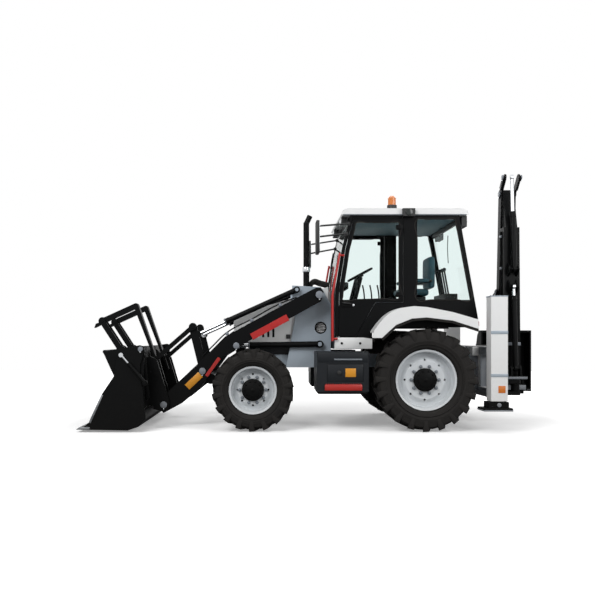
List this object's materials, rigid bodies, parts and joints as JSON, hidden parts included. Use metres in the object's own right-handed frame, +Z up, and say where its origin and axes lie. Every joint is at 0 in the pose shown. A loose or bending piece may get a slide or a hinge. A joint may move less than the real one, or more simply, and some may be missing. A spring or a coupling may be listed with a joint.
{
  "type": "backhoe loader",
  "caption": "Backhoe loader with a clam loader bucket, flip-over forks, glazed cab, stabilisers and a backhoe folded across a sideshift frame.",
  "frame": {"origin": "middle of the overall length and width, on the ground under the tyres", "axes": "+X to the backhoe end, -X to the loader bucket, +Y to the machine's right side, +Z up"},
  "size_m": [6.2, 2.48, 3.493],
  "materials": {
    "white_paint": "gloss",
    "grey_paint": "satin",
    "black_paint": "satin",
    "slate_paint": "satin",
    "red_paint": "gloss",
    "chrome_rod": "polished",
    "tyre_rubber": "matte",
    "tinted_glass": "polished",
    "black_plastic": "matte",
    "amber_plastic": "gloss"
  },
  "bodies": {
    "chassis": {"main_frame": "grey_paint", "engine_block": "slate_paint", "axles": "black_paint", "side_boxes": "slate_paint", "cowl": "white_paint", "nose": "black_paint", "exhaust": "black_paint", "cab_frame": "white_paint", "cab_roof": "white_paint", "cab_glass": "tinted_glass", "fenders": "white_paint", "seat": "black_plastic", "cab_controls": "black_plastic", "lamps_and_mirrors": "black_plastic", "beacon": "amber_plastic", "grab_rails": "red_paint", "rear_frame": "white_paint"},
    "hood": {"hood": "white_paint"},
    "door_left": {"door_left": "black_paint", "door_glass_left": "tinted_glass"},
    "door_right": {"door_right": "black_paint", "door_glass_right": "tinted_glass"},
    "knuckle_left": {"knuckle_left": "black_paint"},
    "knuckle_right": {"knuckle_right": "black_paint"},
    "wheel_front_left": {"tyre_front_left": "tyre_rubber", "rim_front_left": "white_paint"},
    "wheel_front_right": {"tyre_front_right": "tyre_rubber", "rim_front_right": "white_paint"},
    "wheel_rear_left": {"tyre_rear_left": "tyre_rubber", "rim_rear_left": "white_paint"},
    "wheel_rear_right": {"tyre_rear_right": "tyre_rubber", "rim_rear_right": "white_paint"},
    "loader_arms": {"loader_arms": "black_paint", "safety_strut": "red_paint"},
    "boom": {"boom": "black_paint", "crowd_barrel": "black_paint"},
    "dipper": {"dipper": "black_paint", "dig_barrel": "black_paint"},
    "tilt_levers": {"tilt_levers": "black_paint"},
    "tilt_links": {"tilt_links": "black_paint"},
    "lift_barrels": {"lift_barrels": "black_paint"},
    "lift_rods": {"lift_rods": "chrome_rod"},
    "tilt_barrels": {"tilt_barrels": "black_paint"},
    "tilt_rods": {"tilt_rods": "chrome_rod"},
    "loader_bucket": {"loader_bucket": "black_paint"},
    "clam": {"clam": "black_paint"},
    "clam_barrels": {"clam_barrels": "black_paint"},
    "clam_rods": {"clam_rods": "chrome_rod"},
    "forks": {"forks": "black_paint"},
    "leg_left": {"leg_left": "black_paint"},
    "leg_right": {"leg_right": "black_paint"},
    "carriage": {"carriage": "black_paint"},
    "kingpost": {"kingpost": "black_paint"},
    "dig_bucket": {"dig_bucket": "black_paint"},
    "tipping_lever": {"tipping_lever": "black_paint"},
    "dig_link": {"dig_link": "black_paint"},
    "boom_barrel": {"boom_barrel": "black_paint"},
    "boom_rod": {"boom_rod": "chrome_rod"},
    "crowd_rod": {"crowd_rod": "chrome_rod"},
    "dig_rod": {"dig_rod": "chrome_rod"}
  },
  "joints": [
    {"name": "steer_left", "type": "hinge", "parent": "chassis", "child": "knuckle_left", "pos_m": [-0.88, -0.7, 0.525], "axis": [0, 0, 1], "range_deg": [-30, 30]},
    {"name": "steer_right", "type": "hinge", "parent": "chassis", "child": "knuckle_right", "pos_m": [-0.88, 0.7, 0.525], "axis": [0, 0, 1], "range_deg": [-30, 30]},
    {"name": "roll_front_left", "type": "hinge", "parent": "knuckle_left", "child": "wheel_front_left", "pos_m": [-0.88, -0.93, 0.525], "axis": [0, 1, 0], "continuous": true},
    {"name": "roll_front_right", "type": "hinge", "parent": "knuckle_right", "child": "wheel_front_right", "pos_m": [-0.88, 0.93, 0.525], "axis": [0, 1, 0], "continuous": true},
    {"name": "roll_rear_left", "type": "hinge", "parent": "chassis", "child": "wheel_rear_left", "pos_m": [1.32, -0.94, 0.655], "axis": [0, 1, 0], "continuous": true},
    {"name": "roll_rear_right", "type": "hinge", "parent": "chassis", "child": "wheel_rear_right", "pos_m": [1.32, 0.94, 0.655], "axis": [0, 1, 0], "continuous": true},
    {"name": "hood_open", "type": "hinge", "parent": "chassis", "child": "hood", "pos_m": [-0.245, 0, 1.79], "axis": [0, 1, 0], "range_deg": [0, 45]},
    {"name": "door_left_open", "type": "hinge", "parent": "chassis", "child": "door_left", "pos_m": [1.095, -0.788, 1.209], "axis": [0, 0, 1], "range_deg": [0, 80]},
    {"name": "door_right_open", "type": "hinge", "parent": "chassis", "child": "door_right", "pos_m": [1.095, 0.788, 1.209], "axis": [0, 0, -1], "range_deg": [0, 80]},
    {"name": "loader_lift", "type": "hinge", "parent": "chassis", "child": "loader_arms", "pos_m": [-0.005, 0, 1.765], "axis": [0, 1, 0], "range_deg": [0, 75]},
    {"name": "bucket_tilt", "type": "hinge", "parent": "loader_arms", "child": "loader_bucket", "pos_m": [-2.07, 0, 0.305], "axis": [0, -1, 0], "range_deg": [-40, 100]},
    {"name": "clam_open", "type": "hinge", "parent": "loader_bucket", "child": "clam", "pos_m": [-2.29, 0, 1.05], "axis": [0, 1, 0], "range_deg": [0, 50]},
    {"name": "forks_flip", "type": "hinge", "parent": "loader_bucket", "child": "forks", "pos_m": [-2.946, 0, 1.423], "axis": [0, 1, 0], "range_deg": [-250, 0]},
    {"name": "lever_turn", "type": "hinge", "parent": "loader_arms", "child": "tilt_levers", "pos_m": [-1.56, 0, 0.75], "axis": [0, -1, 0], "range_deg": [-41, 101]},
    {"name": "link_turn", "type": "hinge", "parent": "tilt_levers", "child": "tilt_links", "pos_m": [-1.705, 0, 1.34], "axis": [0, -1, 0], "range_deg": [-101, 41]},
    {"name": "lift_barrel_turn", "type": "hinge", "parent": "chassis", "child": "lift_barrels", "pos_m": [0.015, 0, 1.107], "axis": [0, 1, 0], "range_deg": [0, 60.2]},
    {"name": "lift_rod_slide", "type": "slide", "parent": "lift_barrels", "child": "lift_rods", "axis": [-0.9999, 0, -0.0169], "range_m": [0, 0.7031]},
    {"name": "tilt_barrel_turn", "type": "hinge", "parent": "chassis", "child": "tilt_barrels", "pos_m": [-0.298, 0, 1.847], "axis": [0, 1, 0], "range_deg": [0, 90.21]},
    {"name": "tilt_rod_slide", "type": "slide", "parent": "tilt_barrels", "child": "tilt_rods", "axis": [-0.9117, 0, -0.4108], "range_m": [-0.2714, 0.671]},
    {"name": "clam_barrel_turn", "type": "hinge", "parent": "loader_bucket", "child": "clam_barrels", "pos_m": [-2.227, 0, 0.626], "axis": [0, 1, 0], "range_deg": [0, 15.69]},
    {"name": "clam_rod_slide", "type": "slide", "parent": "clam_barrels", "child": "clam_rods", "axis": [-0.651, 0, 0.7591], "range_m": [0, 0.1646]},
    {"name": "leg_left_down", "type": "slide", "parent": "chassis", "child": "leg_left", "axis": [0, 0, -1], "range_m": [0, 0.4]},
    {"name": "leg_right_down", "type": "slide", "parent": "chassis", "child": "leg_right", "axis": [0, 0, -1], "range_m": [0, 0.4]},
    {"name": "sideshift", "type": "slide", "parent": "chassis", "child": "carriage", "axis": [0, 1, 0], "range_m": [-0.25, 0.75]},
    {"name": "backhoe_swing", "type": "hinge", "parent": "carriage", "child": "kingpost", "pos_m": [2.74, -0.25, 0.5], "axis": [0, 0, -1], "range_deg": [0, 180]},
    {"name": "boom_lower", "type": "hinge", "parent": "kingpost", "child": "boom", "pos_m": [2.74, -0.09, 0.48], "axis": [-1, 0, 0], "range_deg": [0, 110]},
    {"name": "boom_barrel_turn", "type": "hinge", "parent": "kingpost", "child": "boom_barrel", "pos_m": [2.74, -0.27, 0.77], "axis": [-1, 0, 0], "range_deg": [0, 110.7]},
    {"name": "boom_rod_slide", "type": "slide", "parent": "boom_barrel", "child": "boom_rod", "axis": [0, 0.0712, 0.9975], "range_m": [0, 0.5641]},
    {"name": "dipper_reach", "type": "hinge", "parent": "boom", "child": "dipper", "pos_m": [2.74, 0.075, 3.25], "axis": [1, 0, 0], "range_deg": [0, 115]},
    {"name": "crowd_rod_slide", "type": "slide", "parent": "boom", "child": "crowd_rod", "axis": [0, 0.0805, 0.9968], "range_m": [-0.4439, 0]},
    {"name": "dig_bucket_open", "type": "hinge", "parent": "dipper", "child": "dig_bucket", "pos_m": [2.74, 0.19, 1.49], "axis": [1, 0, 0], "range_deg": [0, 120]},
    {"name": "tipping_lever_turn", "type": "hinge", "parent": "dipper", "child": "tipping_lever", "pos_m": [2.74, 0.17, 1.85], "axis": [1, 0, 0], "range_deg": [0, 76]},
    {"name": "dig_link_turn", "type": "hinge", "parent": "tipping_lever", "child": "dig_link", "pos_m": [2.74, 0.324, 1.778], "axis": [1, 0, 0], "range_deg": [-74.66, 0]},
    {"name": "dig_rod_slide", "type": "slide", "parent": "dipper", "child": "dig_rod", "axis": [0, 0.1075, -0.9942], "range_m": [-0.2104, 0]}
  ],
  "couplings": [
    {"joint": "steer_right", "follows": "steer_left", "ratio": 1},
    {"joint": "lever_turn", "follows": "bucket_tilt", "ratio": 1},
    {"joint": "link_turn", "follows": "bucket_tilt", "ratio": -1},
    {"joint": "lift_barrel_turn", "follows": "loader_lift", "ratio": 0.78933},
    {"joint": "lift_rod_slide", "follows": "loader_lift", "m_per_rad": 0.53333},
    {"joint": "tilt_barrel_turn", "follows": "loader_lift", "ratio": 1.1894},
    {"joint": "tilt_rod_slide", "follows": "bucket_tilt", "m_per_rad": 0.3816},
    {"joint": "clam_barrel_turn", "follows": "clam_open", "ratio": 0.29384},
    {"joint": "clam_rod_slide", "follows": "clam_open", "m_per_rad": 0.18288},
    {"joint": "boom_barrel_turn", "follows": "boom_lower", "ratio": 0.99726},
    {"joint": "boom_rod_slide", "follows": "boom_lower", "m_per_rad": 0.29124},
    {"joint": "crowd_rod_slide", "follows": "dipper_reach", "m_per_rad": -0.21868},
    {"joint": "tipping_lever_turn", "follows": "dig_bucket_open", "ratio": 0.625},
    {"joint": "dig_link_turn", "follows": "dig_bucket_open", "ratio": -0.61384},
    {"joint": "dig_rod_slide", "follows": "dig_bucket_open", "m_per_rad": -0.09807}
  ]
}
